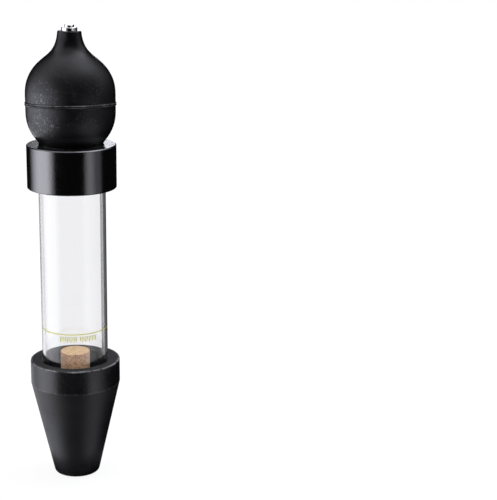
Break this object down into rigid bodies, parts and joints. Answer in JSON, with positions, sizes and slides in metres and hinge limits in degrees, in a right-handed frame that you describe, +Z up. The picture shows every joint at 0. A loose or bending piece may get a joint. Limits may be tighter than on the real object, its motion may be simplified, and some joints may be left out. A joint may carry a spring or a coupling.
{
  "type": "combustion leak detector",
  "caption": "Hand tester for combustion gas in coolant: rubber cone for the radiator neck, clear fluid tube with a porous plug, black collar and squeeze bulb with a plated valve.",
  "frame": {"origin": "centre of the cone's small end, on which the tester stands", "axes": "+Z up along the tester's axis, from the cone to the bulb; +X and +Y across it"},
  "size_m": [0.052, 0.052, 0.265],
  "materials": {
    "cone_rubber": "satin moulded rubber",
    "clear_tube": "clear polished plastic",
    "gloss_collar": "polished black plastic",
    "bulb_rubber": "matte rubber with a dusty bloom",
    "plated_valve": "bright nickel plate",
    "steel": "polished steel",
    "porous_plug": "granular, cork-like",
    "valve_plastic": "natural plastic",
    "seal_rubber": "black seal rubber"
  },
  "bodies": {
    "tester": {"cone_adapter": "cone_rubber", "sight_tube": "clear_tube", "top_collar": "gloss_collar", "porous_diffuser": "porous_plug", "check_valve_seat": "valve_plastic", "check_valve_o_ring": "seal_rubber", "check_valve_cage": "valve_plastic"},
    "bulb": {"squeeze_bulb": "bulb_rubber", "exhaust_valve_body": "plated_valve", "exhaust_valve_cap": "plated_valve", "exhaust_valve_spring": "steel"},
    "exhaust_ball": {"exhaust_valve_ball": "steel"},
    "check_ball": {"check_valve_ball": "steel"}
  },
  "joints": [
    {"name": "bulb_pull", "type": "slide", "parent": "tester", "child": "bulb", "axis": [0, 0, 1], "range_m": [0, 0.06]},
    {"name": "exhaust_ball_lift", "type": "slide", "parent": "bulb", "child": "exhaust_ball", "axis": [0, 0, 1], "range_m": [0, 0.0008], "stiffness_N_per_m": 20, "springref_m": -0.001, "deforming": ["exhaust_valve_spring"]},
    {"name": "check_ball_lift", "type": "slide", "parent": "tester", "child": "check_ball", "axis": [0, 0, 1], "range_m": [0, 0.0025]}
  ]
}
